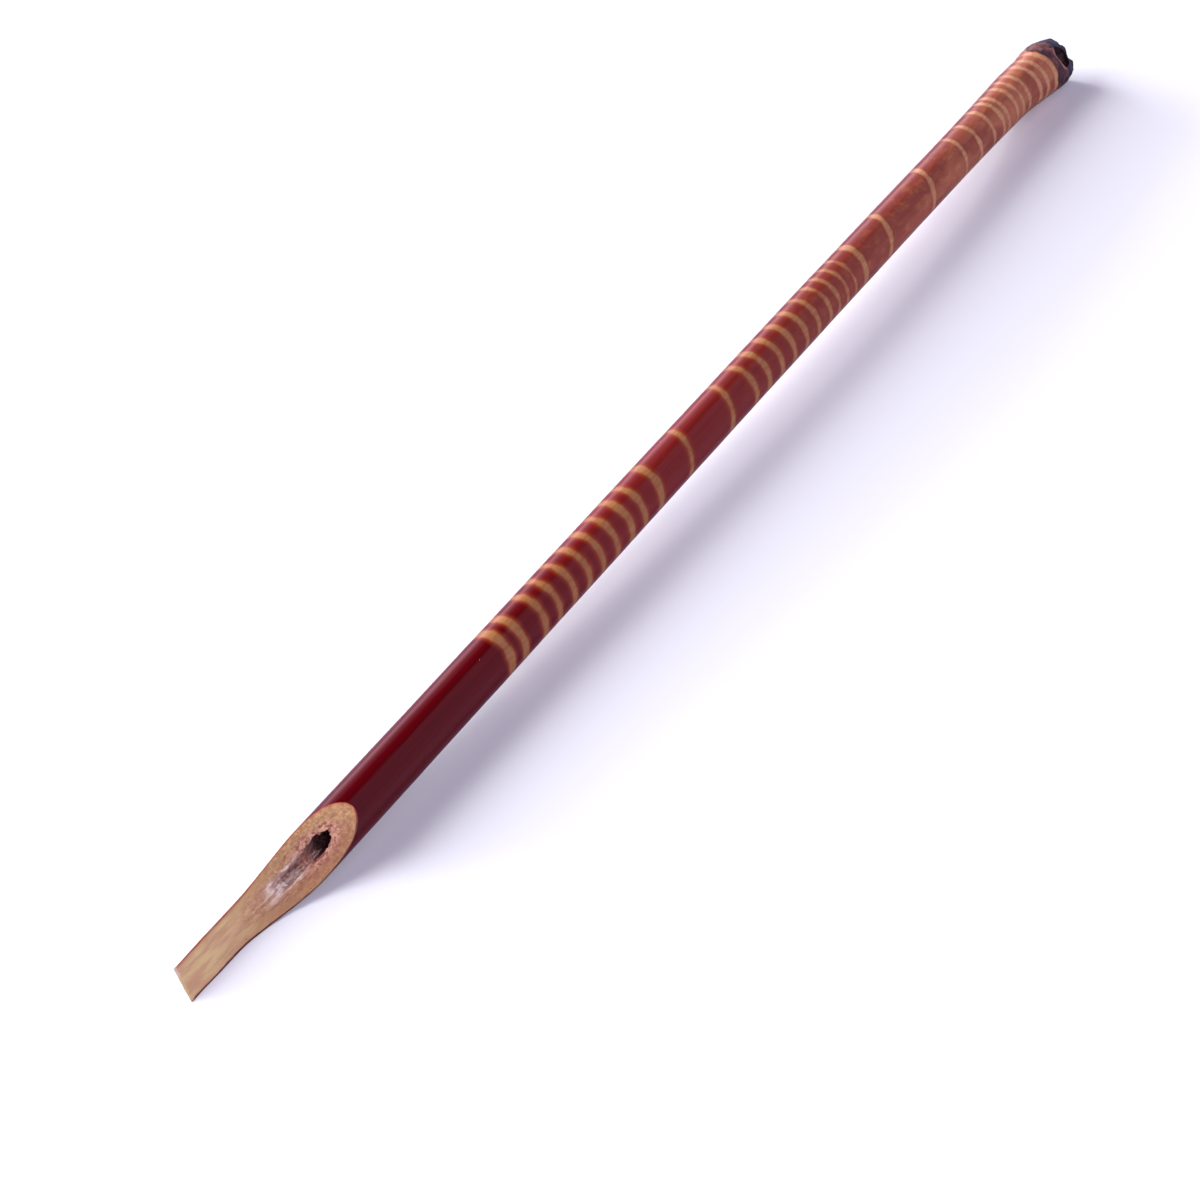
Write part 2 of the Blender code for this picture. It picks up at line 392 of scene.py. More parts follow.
CUT_PAIRS = {
    "wood": ((212, 184, 136), (194, 156, 118)),
    "mottled": ((112, 60, 42), (204, 160, 112)),
    "pith": ((230, 212, 204), (168, 132, 126)),
    "torn": ((120, 54, 46), (206, 156, 136)),
    # The skin line's colour on the left, and on the right a darker copy as painted shade
    "skin_line_and_shade": ((156, 66, 44), (76, 32, 38)),
    "frayed": ((230, 218, 200), (216, 190, 140)),
}
MOTTLED_STRENGTH = 0.7
PITH_STRENGTH = 0.92
TORN_STRENGTH = 0.85
FRAYED_STRENGTH = 0.65
DEPTH_WANDER = 0.34
PITH_WANDER = 1.4
WALL_WANDER = 1.6
RIM_WANDER = 0.06
# The skin line reaches further on the right, where it is painted darker as shade
RIM_MOVED_RIGHT = 0.025
FRAYED_WANDER = 3.0
FLECKS = (0.5, 1.1, 0.11, 0.30)
CUT_ROUGHNESS = 0.55
CUT_SHINE = 0.4
CUT_FIBRE_RELIEF = 0.04
CUT_ENDS_RELIEF = 0.14

# The core's torn wall
WALL_GRAIN = (0.7, 2.4, 5.0, 0.7, 0.0)
WALL_RANGES = {
    "pale": (0.40, 0.60),
    "deep": (0.46, 0.66),
    "left": (0.6, 0.1),
    "right": (0.70, 1.05),
    "edge": (26.2, 28.6),
}
WALL_PAIRS = {
    "pale": ((214, 190, 182), (140, 92, 88)),
    # Further in the hollow: near black as painted shade, mixed with a reddish colour
    "deep": ((24, 8, 10), (104, 36, 34)),
}
WALL_TINTS = {
    "left": ((108, 62, 56), 0.85),
    "right": ((150, 50, 48), 0.7),
}
WALL_EDGE_WANDER = 5.0
WALL_RIGHT_WANDER = 0.6
WALL_ROUGHNESS = 0.6
WALL_RELIEF = 0.2

# The char of the root end
CHAR_GRAIN = (1.1, 1.1, 6.0, 0.7, 0.0)
CHAR_RANGE = (0.46, 0.72)
CHAR_PAIR = ((18, 6, 10), (84, 30, 38))
CHAR_ROUGHNESS = 0.28
CHAR_UNEVEN = 0.35
CHAR_RELIEF = 0.35

# Noise lies around this value, and a speck is full up to this share of its size
NOISE_MIDDLE = 0.5
SPECK_FULL = 0.5


def smooth_share(value, start, end):
    """0 up to start, 1 from end on, and an even S between them."""
    share = min(max((value - start) / (end - start), 0.0), 1.0)
    return share * share * (3 - 2 * share)


def round_noise(along, around, layers):
    """Layers of noise on the round, each with its height and its grains along and around."""
    total = 0.0
    for height, grains_along, grains_around in layers:
        spot = Vector((along * grains_along, around.y * grains_around, around.z * grains_around))
        total += height * noise.noise(spot)
    return total


def flat_noise(along, across, layer):
    """Noise on the cut, for one layer of grains along, grains across and noise row."""
    grains_along, grains_across, row = layer
    return noise.noise(Vector((along * grains_along, across * grains_across, row)))


def cane_radius(along):
    flare = max(along - FLARE_START, 0.0) / (CANE_LENGTH - FLARE_START)
    return BARREL_RADIUS + FLARE_GROWTH * flare**FLARE_POWER


def outer_radius(along):
    into_shoulder = max(along - (CANE_LENGTH - SHOULDER_LENGTH), 0.0) / SHOULDER_LENGTH
    return cane_radius(along) - SHOULDER_DROP * into_shoulder**2


def cane_centre(along):
    share = max(along / CANE_LENGTH, 0.0)
    bow = math.sin(math.pi * share**BOW_SKEW)
    tip_height = BARREL_RADIUS - TIP_FLAT_DEPTH
    root_height = cane_radius(CANE_LENGTH - SHOULDER_LENGTH) - ROOT_FLAT_DEPTH
    height = tip_height + (root_height - tip_height) * share
    return Vector((along, -BOW_SIDE * bow, height + BOW_HEIGHT * bow))


def outward(turn):
    return Vector((0.0, -math.sin(turn), math.cos(turn)))


def rim_reach(turn):
    reach = RIM_SLANT * math.cos(turn - FULL_TURN) - RIM_SET_BACK
    for waves, height, start in RIM_WAVES:
        reach += height * math.sin(waves * turn + start)
    return reach


def cut_level(along):
    share = max(along - TONGUE_LENGTH, 0.0) / (CUT_LENGTH - TONGUE_LENGTH)
    return BARREL_RADIUS * (TONGUE_LEVEL + (1 - TONGUE_LEVEL) * share**CUT_POWER)


def cut_turn(along):
    twist = smooth_share(along, CUT_TWIST_FROM, CUT_TWIST_TO)
    return CUT_TURN_AT_TONGUE + (CUT_TURN_AT_END - CUT_TURN_AT_TONGUE) * twist


def link_object(name, mesh):
    made = bpy.data.objects.new(name, mesh)
    bpy.context.scene.collection.objects.link(made)
    return made


def shape_object(name, shape, material):
    """Turns a finished bmesh into an object with one material."""
    mesh = bpy.data.meshes.new(name)
    shape.to_mesh(mesh)
    shape.free()
    mesh.materials.append(material)
    return link_object(name, mesh)


def mesh_object(name, points, faces, materials):
    mesh = bpy.data.meshes.new(name)
    mesh.from_pydata(points, [], faces)
    for material in materials:
        mesh.materials.append(material)
    shape = bmesh.new()
    shape.from_mesh(mesh)
    bmesh.ops.recalc_face_normals(shape, faces=shape.faces)
    shape.to_mesh(mesh)
    shape.free()
    return link_object(name, mesh)


def tube_faces(rings, sides):
    """The faces between rings of points, each ring with this many sides."""
    faces = []
    for ring in range(rings - 1):
        for side in range(sides):
            here = ring * sides
            beside = (side + 1) % sides
            faces.append((here + side, here + beside, here + sides + beside, here + sides + side))
    return faces


def close_tube(faces, first_ring, last_ring, first_point, last_point, sides):
    """Adds the fans that close a tube at its two end points."""
    for side in range(sides):
        beside = (side + 1) % sides
        faces.append((first_point, first_ring + beside, first_ring + side))
        faces.append((last_point, last_ring + side, last_ring + beside))


def slab_faces(rows, columns):
    """The faces of a slab whose points are a lower grid and then an upper one of this many cells."""
    width = columns + 1
    layer = (rows + 1) * width
    faces = []
    for row in range(rows):
        for column in range(columns):
            corner = row * width + column
            quad = (corner, corner + 1, corner + width + 1, corner + width)
            faces.append(quad)
            faces.append(tuple(layer + index for index in reversed(quad)))
    for row in range(rows):
        for edge in (0, columns):
            low = row * width + edge
            faces.append((low, low + width, layer + low + width, layer + low))
    for column in range(columns):
        for edge in (0, rows):
            low = edge * width + column
            faces.append((low, low + 1, layer + low + 1, layer + low))
    return faces


def skin_relief(along, turn):
    """How far the skin stands off the even round: slow swells, and wrinkles near the root end."""
    around = outward(turn)
    swell = 0.0
    for height, length, grains in SWELLS:
        swell += height * noise.noise(Vector((along / length, around.y * grains, around.z * grains)))
    collar = smooth_share(along, *COLLAR_RANGE)
    wrinkle = round_noise(along, around, WRINKLES)
    spot = Vector((along / RIDGE_LENGTH, around.y * RIDGE_GRAINS, around.z * RIDGE_GRAINS))
    ridge = RIDGE_HEIGHT * math.sin(along * RIDGE_TURNS + RIDGE_WANDER * noise.noise(spot))
    return swell + collar * (WRINKLE_HEIGHT * wrinkle + ridge - COLLAR_SUNK)


def barrel_point(along, turn):
    """A point of the outer skin, with the root end's bulge, its ragged rim and the horn on the rim."""
    around = outward(turn)
    point = cane_centre(along) + (outer_radius(along) + skin_relief(along, turn)) * around
    point += BULGE * smooth_share(along, BULGE_FROM, CANE_LENGTH) * outward(FULL_TURN)
    reach = rim_reach(turn)
    for height, row, grains in RAGGED_LAYERS:
        reach += height * noise.noise(Vector((row, around.y * grains, around.z * grains)))
    horn = max(math.cos(turn - HORN_TURN), 0.0) ** 2
    reach += HORN_REACH * horn
    point += HORN_RISE * horn * smooth_share(along, RIM_FROM, CANE_LENGTH) * around
    point.x += reach * max(along - RIM_FROM, 0.0) / (CANE_LENGTH - RIM_FROM)
    return point


def make_barrel(materials):
    """The cane before it is cut: rings of points from the tip to the rim, and on to the end's middle."""
    places = [-BEFORE_TIP]
    count = round((END_FROM + BEFORE_TIP) / STATION_STEP)
    places += [-BEFORE_TIP + STATION_STEP * (step + 1) for step in range(count)]
    count = round((CANE_LENGTH - END_FROM) / END_STEP)
    places += [END_FROM + (CANE_LENGTH - END_FROM) * (step + 1) / count for step in range(count)]
    turns = [2 * math.pi * side / SIDES for side in range(SIDES)]
    points = [barrel_point(along, turn) for along in places for turn in turns]
    middle = cane_centre(CANE_LENGTH) + BULGE * outward(FULL_TURN)
    middle.x -= RIM_SET_BACK
    for ring in range(1, END_RINGS):
        share = 1 - ring / END_RINGS
        for turn in turns:
            point = middle.lerp(barrel_point(CANE_LENGTH, turn), share)
            rough = sum(noise.noise(point * grains) * height for height, grains in END_ROUGHNESS)
            point.x += rough * min(ring / END_SMOOTH_RINGS, 1.0) - END_HOLLOW * (1 - share**END_HOLLOW_POWER)
            points.append(point)
    rings = len(places) + END_RINGS - 1
    faces = tube_faces(rings, SIDES)
    close_tube(faces, 0, (rings - 1) * SIDES, len(points), len(points) + 1, SIDES)
    points.append(cane_centre(places[0]))
    points.append(middle + Vector((-END_HOLLOW, 0, 0)))
    cane = mesh_object("reed_cane_fine", points, faces, materials)
    first_end_face = (len(places) - 1) * SIDES
    for polygon in cane.data.polygons:
        if polygon.index >= first_end_face and polygon.center.x > RIM_FROM:
            polygon.material_index = CHAR_INDEX
    return cane


def cut_relief(along, across):
    """The uneven cut: streaks on the tongue, grain on the slope, and the torn groove at the core."""
    relief = 0.0
    for height, *layer in KNIFE_LAYERS:
        relief += height * flat_noise(along, across, layer)
    coarse = GRAIN_HEIGHT * flat_noise(along, across, GRAIN_COARSE)
    grain_height = smooth_share(along, *GRAIN_RANGE) * coarse
    grain_height += GRAIN_FINE_SHARE * grain_height * flat_noise(along, across, GRAIN_FINE)
    from_core = math.hypot(cut_level(along), across)
    pith = (1 - smooth_share(from_core, *PITH_REACH)) * smooth_share(along, *PITH_RANGE)
    soft = pith * (PITH_DEPTH + PITH_UNEVEN * flat_noise(along, across, PITH_LAYER))
    torn = 0.0
    for share, grains, row in GROOVE_WANDERS:
        torn += share * noise.noise(Vector((along * grains, row, GROOVE_WANDER_ROW)))
    from_line = abs(across + GROOVE_SIDE + GROOVE_WANDER_SIDE * torn)
    groove = smooth_share(along + GROOVE_WANDER_ALONG * torn, GROOVE_START, GROOVE_DEEP) ** GROOVE_POWER
    groove *= 1 - smooth_share(from_line, GROOVE_FLOOR, GROOVE_HALF_WIDTH + GROOVE_WANDER_WIDTH * torn)
    groove *= 1 - smooth_share(along, *GROOVE_FADE)
    broken = 1 + GROOVE_UNEVEN * flat_noise(along, across, GROOVE_LAYER)
    return relief + grain_height - soft - GROOVE_DEPTH * groove * broken


def make_cut_cutter(material):
    """A slab whose lower face is the scooped cut."""
    length = CUT_LENGTH + CUT_OVERRUN
    rows = round(length / CUT_STEP)
    columns = round(2 * CUT_HALF_WIDTH / CUT_STEP)
    points = []
    for raised in (False, True):
        for row in range(rows + 1):
            along = -CUT_BEFORE + length * row / rows
            turn = cut_turn(along)
            side = outward(turn + math.pi / 2)
            for column in range(columns + 1):
                across = CUT_HALF_WIDTH * (2 * column / columns - 1)
                level = CUTTER_REACH if raised else cut_level(along) + cut_relief(along, across)
                points.append(cane_centre(along) + level * outward(turn) + across * side)
    return mesh_object("cut_cutter", points, slab_faces(rows, columns), [material])


def make_tip_cutter(material):
    """A block whose slanted face leaves the tongue's lower corner as the foremost point."""
    across = outward(CUT_TURN_AT_TONGUE + math.pi / 2)
    corner = cane_centre(0) + BARREL_RADIUS * TONGUE_LEVEL * outward(CUT_TURN_AT_TONGUE)
    corner += BARREL_RADIUS * math.sqrt(1 - TONGUE_LEVEL**2) * across
    slant = Matrix.Rotation(-TIP_SLANT, 4, outward(CUT_TURN_AT_TONGUE))
    bevel = Matrix.Rotation(TIP_BEVEL, 4, across)
    placed = Matrix.Translation(corner) @ slant @ bevel
    points = []
    for raised in (False, True):
        for row in range(TIP_CUT_STEPS + 1):
            for column in range(TIP_CUT_STEPS + 1):
                y = TIP_CUT_SIZE * (2 * row / TIP_CUT_STEPS - 1)
                z = TIP_CUT_SIZE * (2 * column / TIP_CUT_STEPS - 1)
                x = -CUTTER_REACH
                if not raised:
                    spot = Vector((TIP_NOISE_ROW, y * TIP_GRAINS, z * TIP_GRAINS))
                    x = -TIP_ROUGHNESS + TIP_ROUGHNESS * noise.noise(spot)
                points.append(placed @ Vector((x, y, z)))
    return mesh_object("tip_cutter", points, slab_faces(TIP_CUT_STEPS, TIP_CUT_STEPS), [material])


def make_core_cutter(material):
    """The hollow core: ragged where the cut opens it, with a little pith left on its floor."""
    fine_length = CORE_FINE_END - CORE_START
    places = [CORE_START + fine_length * step / CORE_FINE_STEPS for step in range(CORE_FINE_STEPS + 1)]
    rest = CORE_END - CORE_FINE_END
    places += [CORE_FINE_END + rest * (step + 1) / CORE_STEPS for step in range(CORE_STEPS)]
    points = []
    for along in places:
        for side in range(CORE_SIDES):
            turn = 2 * math.pi * side / CORE_SIDES
            around = outward(turn)
            ragged = round_noise(along, around, CORE_LAYERS)
            below = max(-math.cos(turn - CUT_TURN_AT_END), 0.0)
            filled = CORE_FILLED * below * (1 - smooth_share(along, *CORE_FILLED_RANGE))
            reach = CORE_RADIUS * (CORE_WIDENING + ragged - filled)
            points.append(cane_centre(along) + reach * around)
    faces = tube_faces(len(places), CORE_SIDES)
    close_tube(faces, 0, (len(places) - 1) * CORE_SIDES, len(points), len(points) + 1, CORE_SIDES)
    points.append(cane_centre(places[0]))
    points.append(cane_centre(places[-1]))
    return mesh_object("core_cutter", points, faces, [material])


def make_ball(name, centre, radii, turn, rough, material):
    """An uneven egg: its radii lie along the cane, across it and outward at this turn."""
    shape = bmesh.new()
    bmesh.ops.create_icosphere(shape, subdivisions=BALL_DIVISIONS, radius=1.0)
    for vert in shape.verts:
        unit = vert.co.copy()
        uneven = sum(share * noise.noise(unit * grains + Vector(centre)) for share, grains in BALL_LAYERS)
        vert.co = unit * (1 + rough * uneven)
    bmesh.ops.scale(shape, verts=shape.verts, vec=radii)
    placed = Matrix.Translation(centre) @ Matrix.Rotation(turn, 4, "X")
    bmesh.ops.transform(shape, verts=shape.verts, matrix=placed)
    return shape_object(name, shape, material)


def make_rest_cutter(material):
    """A block under the surface that the cane lies on. It leaves the two flats."""
    shape = bmesh.new()
    bmesh.ops.create_cube(shape, size=1.0)
    size = (CANE_LENGTH * 1.2, CUTTER_REACH * 2, CUTTER_REACH)
    bmesh.ops.scale(shape, verts=shape.verts, vec=size)
    bmesh.ops.translate(shape, verts=shape.verts, vec=(CANE_LENGTH / 2, 0, -CUTTER_REACH / 2))
    return shape_object("rest_cutter", shape, material)


def cut_away(cane, cutters):
    """Takes the cutters off the cane one after another, and welds the slivers that they leave."""
    for cutter in cutters:
        modifier = cane.modifiers.new(cutter.name, "BOOLEAN")
        modifier.operation = "DIFFERENCE"
        modifier.solver = "EXACT"
        modifier.material_mode = "TRANSFER"
        modifier.object = cutter
    bpy.context.view_layer.update()
    evaluated = cane.evaluated_get(bpy.context.evaluated_depsgraph_get())
    mesh = bpy.data.meshes.new_from_object(evaluated)
    shape = bmesh.new()
    shape.from_mesh(mesh)
    bmesh.ops.triangulate(shape, faces=shape.faces)
    bmesh.ops.remove_doubles(shape, verts=shape.verts, dist=WELD_DISTANCE)
    bmesh.ops.dissolve_degenerate(shape, edges=shape.edges, dist=WELD_DISTANCE)
    shape.to_mesh(mesh)
    shape.free()
    cane.modifiers.clear()
    cane.data = mesh
    for cutter in cutters:
        bpy.data.objects.remove(cutter, do_unlink=True)


def ring_list():
    """Every ring as (place, half width, slant)."""
    rings = []
    for first, last, count, width, slant in RING_RUNS:
        for number in range(count):
            share = number / (count - 1) if count > 1 else 0.0
            place = first + (last - first) * share
            wander = noise.noise(Vector((place * RING_WANDER_GRAINS, *RING_WANDER_ROW)))
            shift = RING_SHIFT * wander if count > 2 else 0.0
            rings.append((place + shift, width / 2 * (1 + RING_WIDENING * wander), slant))
    return rings


def ring_inside(along, turn, rings):
    """How far inside a ring's edge a point of the skin lies, in millimetres, negative outside."""
    nearest = -RING_REACH
    for place, half, slant in rings:
        middle = place - slant * math.sin(turn - NEAR_TURN)
        nearest = max(nearest, half - abs(along - middle))
    return nearest


def add_attributes(mesh):
    """Gives each point its place on the straightened cane, in a ring, and in the cut."""
    rings = ring_list()
    places = []
    depths = []
    sunk = []
    sides = []
    for vert in mesh.vertices:
        offset = vert.co - cane_centre(vert.co.x)
        places.extend((vert.co.x, offset.y, offset.z))
        turn = math.atan2(-offset.y, offset.z)
        depths.append(ring_inside(vert.co.x, turn, rings))
        turned = cut_turn(vert.co.x)
        sunk.append(cut_level(vert.co.x) - offset.dot(outward(turned)))
        sides.append(offset.dot(outward(turned + math.pi / 2)))
    mesh.attributes.new("straight", "FLOAT_VECTOR", "POINT").data.foreach_set("vector", places)
    for name, values in (("ring_inside", depths), ("sunk", sunk), ("cut_side", sides)):
        mesh.attributes.new(name, "FLOAT", "POINT").data.foreach_set("value", values)


def srgb(red, green, blue):
    """A colour as a screen shows it, 0 to 255, turned into the linear values that shaders take."""
    linear = []
    for value in (red, green, blue):
        share = value / 255
        linear.append(share / 12.92 if share <= 0.04045 else ((share + 0.055) / 1.055) ** 2.4)
    return (*linear, 1.0)


def put(tree, socket, value):
    if isinstance(value, bpy.types.NodeSocket):
        tree.links.new(value, socket)
    else:
        socket.default_value = value


def add(tree, kind, inputs, **settings):
    made = tree.nodes.new(kind)
    for name, value in settings.items():
        setattr(made, name, value)
    for name, value in inputs.items():
        put(tree, made.inputs[name], value)
    return made


def attribute(tree, name, output="Fac"):
    return add(tree, "ShaderNodeAttribute", {}, attribute_name=name).outputs[output]


def split(tree, vector):
    return add(tree, "ShaderNodeSeparateXYZ", {"Vector": vector}).outputs


def calc(tree, operation, *values, clamp=False):
    inputs = dict(enumerate(values))
    return add(tree, "ShaderNodeMath", inputs, operation=operation, use_clamp=clamp).outputs[0]


def times(tree, *values):
    """The product of two or more values."""
    product = values[0]
    for value in values[1:]:
        product = calc(tree, "MULTIPLY", product, value)
    return product


def plus(tree, value, other, share, clamp=False):
    """A value, and this share of another one on top."""
    return calc(tree, "ADD", value, times(tree, other, share), clamp=clamp)


def off_middle(tree, value):
    """Noise that lies around 0.5, moved to lie around 0."""
    return calc(tree, "SUBTRACT", value, NOISE_MIDDLE)


def vector_calc(tree, operation, first, second=(0.0, 0.0, 0.0)):
    return add(tree, "ShaderNodeVectorMath", {0: first, 1: second}, operation=operation).outputs


def step_between(tree, value, limits):
    """0 before the first limit, 1 after the second, an even S between. The first may be the higher."""
    start, end = limits
    low, high, first, last = (start, end, 0.0, 1.0) if start < end else (end, start, 1.0, 0.0)
    inputs = {"Value": value, "From Min": low, "From Max": high, "To Min": first, "To Max": last}
    return add(tree, "ShaderNodeMapRange", inputs, interpolation_type="SMOOTHSTEP").outputs[0]


def blend(tree, factor, first, second, blend_type="MIX"):
    made = add(tree, "ShaderNodeMix", {0: factor}, data_type="RGBA", blend_type=blend_type)
    put(tree, made.inputs[6], first)
    put(tree, made.inputs[7], second)
    return made.outputs[2]


def blend_pair(tree, factor, pair):
    """A mix of two colours that are given as a screen shows them."""
    first, second = pair
    return blend(tree, factor, srgb(*first), srgb(*second))


def tint(tree, under, kind, where):
    """Lays a tint, its colour and its strength, over the colour that is under it."""
    colour, strength = kind
    return blend(tree, times(tree, where, strength), under, srgb(*colour))


def grain(tree, place, layer):
    """Noise around 0.5 on the straightened cane, from one row of a list of grains."""
    along, across, detail, roughness, shift = layer
    mapping = add(tree, "ShaderNodeMapping", {"Vector": place})
    mapping.inputs["Location"].default_value = (shift, shift, shift)
    mapping.inputs["Scale"].default_value = (along, across, across)
    inputs = {"Vector": mapping.outputs[0], "Scale": 1.0, "Detail": detail, "Roughness": roughness}
    return add(tree, "ShaderNodeTexNoise", inputs).outputs[0]


def all_grains(tree, place, layers):
    return {name: grain(tree, place, layer) for name, layer in layers.items()}


def specks(tree, place, kind):
    """1 inside small round specks. Their kind is cells along and across, size, and the share of cells."""
    along, across, size, share = kind
    mapping = add(tree, "ShaderNodeMapping", {"Vector": place})
    mapping.inputs["Scale"].default_value = (along, across, across)
    cells = add(tree, "ShaderNodeTexVoronoi", {"Vector": mapping.outputs[0], "Scale": 1.0, "Randomness": 1.0})
    near = step_between(tree, cells.outputs["Distance"], (size, size * SPECK_FULL))
    parts = add(tree, "ShaderNodeSeparateColor", {"Color": cells.outputs["Color"]})
    return times(tree, near, calc(tree, "LESS_THAN", parts.outputs[0], share))


def new_material(name):
    """A material with its node tree, its shader, and the place on the straightened cane."""
    material = bpy.data.materials.new(name)
    material.use_nodes = True
    tree = material.node_tree
    return material, tree, tree.nodes["Principled BSDF"], attribute(tree, "straight", "Vector")


def bump(tree, shader, height, distance):
    made = add(tree, "ShaderNodeBump", {"Height": height, "Distance": distance, "Strength": 1.0})
    put(tree, shader.inputs["Normal"], made.outputs[0])


def red_skin(tree, grains, along, sideways, rootward):
    """The skin without its rings: darkest near the cut, and browner and more uneven towards the root."""
    tones = add(tree, "ShaderNodeValToRGB", {"Fac": calc(tree, "DIVIDE", along, CANE_LENGTH)})
    ramp = tones.color_ramp
    for element, (position, colour) in zip(ramp.elements, (SKIN_TONES[0], SKIN_TONES[-1])):
        element.position = position
        element.color = srgb(*colour)
    for position, colour in SKIN_TONES[1:-1]:
        ramp.elements.new(position).color = srgb(*colour)
    shade = SHADE_BASE
    for name, share in SHADE_SHARES.items():
        shade = plus(tree, shade, grains[name], share)
    scaled = {0: tones.outputs[0], "Scale": shade}
    red = add(tree, "ShaderNodeVectorMath", scaled, operation="SCALE").outputs[0]
    # Painted shade: a darker red on the +Y side, where the key light falls, from the middle of the cane
    # towards the root
    ruddy = times(
        tree,
        step_between(tree, sideways, SKIN_RANGES["lit_side_shade_across"]),
        step_between(tree, along, SKIN_RANGES["lit_side_shade_from"]),
        step_between(tree, along, SKIN_RANGES["lit_side_shade_until"]),
    )
    places = {
        "warm": times(tree, rootward, step_between(tree, grains["mottle"], SKIN_RANGES["warm"])),
        # Painted light: the -Y side is made paler, more so towards the root
        "sallow": times(tree, step_between(tree, sideways, SKIN_RANGES["sallow"]), rootward),
        "ruddy": ruddy,
        "deep": times(tree, step_between(tree, grains["clouds"], SKIN_RANGES["deep"]), rootward),
    }
    for name, where in places.items():
        red = tint(tree, red, SKIN_TINTS[name], where)
    return red


def add_rings(tree, under, grains, wander, rootward):
    """The pale rings, each with a warm glow around it."""
    inside = plus(tree, attribute(tree, "ring_inside"), wander, RING_EDGE_WANDER)
    pale = blend_pair(tree, rootward, SKIN_PAIRS["pale"])
    tanned = blend_pair(tree, rootward, SKIN_PAIRS["tanned"])
    pale = blend(tree, step_between(tree, grains["pale_fibres"], SKIN_RANGES["tanned"]), pale, tanned)
    glow = step_between(tree, inside, SKIN_RANGES["glow"])
    glow = times(tree, glow, plus(tree, GLOW_STRENGTH, rootward, -GLOW_LOST_ROOTWARD))
    coloured = tint(tree, under, SKIN_TINTS["glow"], glow)
    strength = plus(tree, RING_STRENGTH, grains["mottle"], RING_MOTTLE, clamp=True)
    return blend(tree, times(tree, step_between(tree, inside, SKIN_RANGES["band"]), strength), coloured, pale)


def burnt_collar(tree, place, grains, along, burnt_edge, wander):
    """The wrinkled collar: brown patches, a dark seam where it starts, and a painted highlight on the ridge
    around the socket.
    """
    patched = step_between(tree, grains["patches"], SKIN_RANGES["patches"])
    collar = blend_pair(tree, patched, SKIN_PAIRS["collar"])
    wrinkled = step_between(tree, grains["wrinkles"], SKIN_RANGES["wrinkles"])
    collar = tint(tree, collar, SKIN_TINTS["wrinkles"], wrinkled)
    seam_from = step_between(tree, burnt_edge, SKIN_RANGES["seam_from"])
    seam = times(tree, seam_from, step_between(tree, burnt_edge, SKIN_RANGES["seam_until"]))
    collar = tint(tree, collar, SKIN_TINTS["seam"], seam)
    socket = SOCKET_OFFSET * outward(SOCKET_TURN)
    stretch = (SOCKET_RADII[1] / SOCKET_RADII[0], 1.0, 1.0)
    off_socket = vector_calc(tree, "SUBTRACT", place, (SOCKET_PLACE, socket.y, socket.z))[0]
    off_socket = vector_calc(tree, "MULTIPLY", off_socket, stretch)[0]
    from_socket = plus(tree, vector_calc(tree, "LENGTH", off_socket)["Value"], wander, SOCKET_WANDER)
    # Painted highlight: a pale band on the ridge around the socket's edge
    ridge = step_between(tree, from_socket, SKIN_RANGES["socket_edge"])
    ridge = times(tree, ridge, step_between(tree, along, SKIN_RANGES["socket_until"]))
    return tint(tree, collar, SKIN_TINTS["socket_rim_highlight"], ridge)


def skin_material():
    """The glossy skin: red near the cut, browner towards the root, with pale rings and a burnt collar."""
    material, tree, shader, place = new_material("reed_skin")
    along, sideways, _ = split(tree, place)
    grains = all_grains(tree, place, SKIN_GRAINS)
    wander = off_middle(tree, grains["wander"])
    rootward = step_between(tree, along, SKIN_RANGES["rootward"])
    coloured = red_skin(tree, grains, along, sideways, rootward)
    coloured = add_rings(tree, coloured, grains, wander, rootward)
    # Painted shade: the +Y side, where the key light falls, is darkened, more so towards the root
    far_side_shade = step_between(tree, sideways, SKIN_RANGES["far_side_shade"])
    far_side_shade = times(tree, far_side_shade, plus(tree, FAR_SIDE_SHADE_STRENGTH, rootward, FAR_SIDE_SHADE_ROOTWARD))
    coloured = blend(tree, far_side_shade, coloured, FAR_SIDE_SHADE_COLOUR, "MULTIPLY")
    burnt_edge = plus(tree, along, wander, BURNT_WANDER)
    scorched = step_between(tree, burnt_edge, SKIN_RANGES["scorched"])
    burnt_and_sheen = step_between(tree, burnt_edge, SKIN_RANGES["burnt_and_sheen"])
    collar = burnt_collar(tree, place, grains, along, burnt_edge, wander)
    coloured = blend(tree, scorched, coloured, collar)
    # The burnt end: near black, with patches of a painted bluish sheen
    coloured = blend(tree, burnt_and_sheen, coloured, blend_pair(tree, grains["wrinkles"], SKIN_PAIRS["burnt_and_sheen"]))
    dust = times(tree, specks(tree, place, DUST), calc(tree, "SUBTRACT", 1.0, scorched))
    put(tree, shader.inputs["Base Color"], tint(tree, coloured, SKIN_TINTS["dust"], dust))
    roughness = plus(tree, SKIN_ROUGHNESS, grains["fibres"], FIBRE_ROUGHNESS)
    put(tree, shader.inputs["Roughness"], plus(tree, roughness, scorched, SCORCHED_ROUGHNESS))
    shader.inputs["Specular IOR Level"].default_value = SKIN_SHINE
    relief = times(tree, grains["fibres"], SKIN_FIBRE_RELIEF)
    relief = plus(tree, relief, times(tree, grains["wrinkles"], scorched), WRINKLE_RELIEF)
    bump(tree, shader, relief, MILLIMETRE)
    return material


